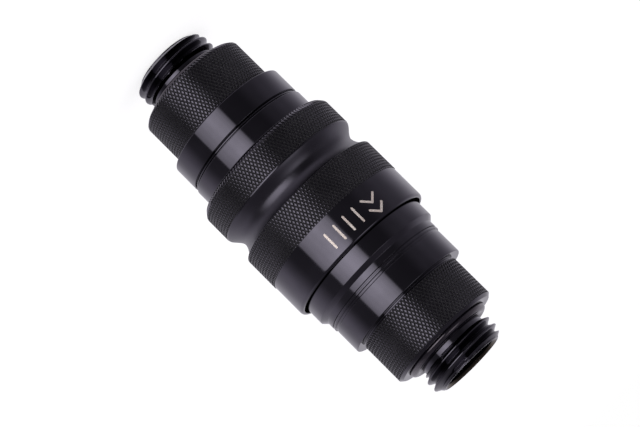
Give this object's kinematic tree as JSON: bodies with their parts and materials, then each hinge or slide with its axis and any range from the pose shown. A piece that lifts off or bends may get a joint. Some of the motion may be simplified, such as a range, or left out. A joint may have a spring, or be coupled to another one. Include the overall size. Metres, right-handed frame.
{
  "type": "liquid cooling quick coupling",
  "caption": "Two turned halves of a fluid coupling, joined: threaded ports, knurled grips and a spring-loaded release sleeve over valves that close as they part.",
  "frame": {"origin": "on the axis, at the socket half's end rim, which it stands on", "axes": "+Z along the coupling's axis, from the socket half's thread to the plug half's thread"},
  "size_m": [0.025, 0.025, 0.0645],
  "materials": {
    "black_plating": "dark glossy plating on turned brass",
    "bare_brass": "turned brass with fine tool marks",
    "spring_steel": "bright drawn spring steel",
    "black_rubber": "matt black seal rubber"
  },
  "bodies": {
    "socket": {"socket_port_cap": "black_plating", "socket_port_seal": "black_rubber", "socket_cap_seal": "black_rubber", "rear_collar": "black_plating", "socket_body": "bare_brass", "valve_stem": "bare_brass", "stem_seal": "black_rubber", "ring_valve_spring": "spring_steel", "lock_ring": "spring_steel", "sleeve_spring": "spring_steel"},
    "sleeve_seat": {"spring_washer": "spring_steel"},
    "sleeve": {"release_sleeve": "black_plating"},
    "ring_valve": {"ring_valve": "bare_brass", "ring_valve_seal": "black_rubber"},
    "nose_seal": {"nose_seal": "black_rubber"},
    "plug": {"plug_body": "black_plating", "poppet_guide": "bare_brass", "poppet_spring": "spring_steel", "plug_cap_seal": "black_rubber", "plug_port_cap": "black_plating", "plug_port_seal": "black_rubber"},
    "poppet": {"poppet": "bare_brass", "poppet_seal": "black_rubber"}
  },
  "joints": [
    {"name": "sleeve_push", "type": "slide", "parent": "socket", "child": "sleeve_seat", "axis": [0, 0, 1], "range_m": [0, 0.0026], "stiffness_N_per_m": 2500, "springref_m": -0.002, "deforming": ["sleeve_spring"]},
    {"name": "sleeve_turn", "type": "hinge", "parent": "sleeve_seat", "child": "sleeve", "pos_m": [0, 0, 0.023], "axis": [0, 0, 1], "continuous": true},
    {"name": "plug_pull", "type": "slide", "parent": "socket", "child": "nose_seal", "axis": [0, 0, 1], "range_m": [0, 0.018], "deforming": ["lock_ring"]},
    {"name": "plug_swivel", "type": "hinge", "parent": "nose_seal", "child": "plug", "pos_m": [0, 0, 0.038], "axis": [0, 0, 1], "continuous": true},
    {"name": "ring_valve_travel", "type": "slide", "parent": "socket", "child": "ring_valve", "axis": [0, 0, 1], "range_m": [0, 0.004], "deforming": ["ring_valve_spring"]},
    {"name": "poppet_travel", "type": "slide", "parent": "plug", "child": "poppet", "axis": [0, 0, 1], "range_m": [-0.004, 0], "deforming": ["poppet_spring"]}
  ],
  "couplings": [
    {"joint": "ring_valve_travel", "follows": "plug_pull", "ratio": 0.2222},
    {"joint": "poppet_travel", "follows": "plug_pull", "ratio": -0.2222}
  ]
}
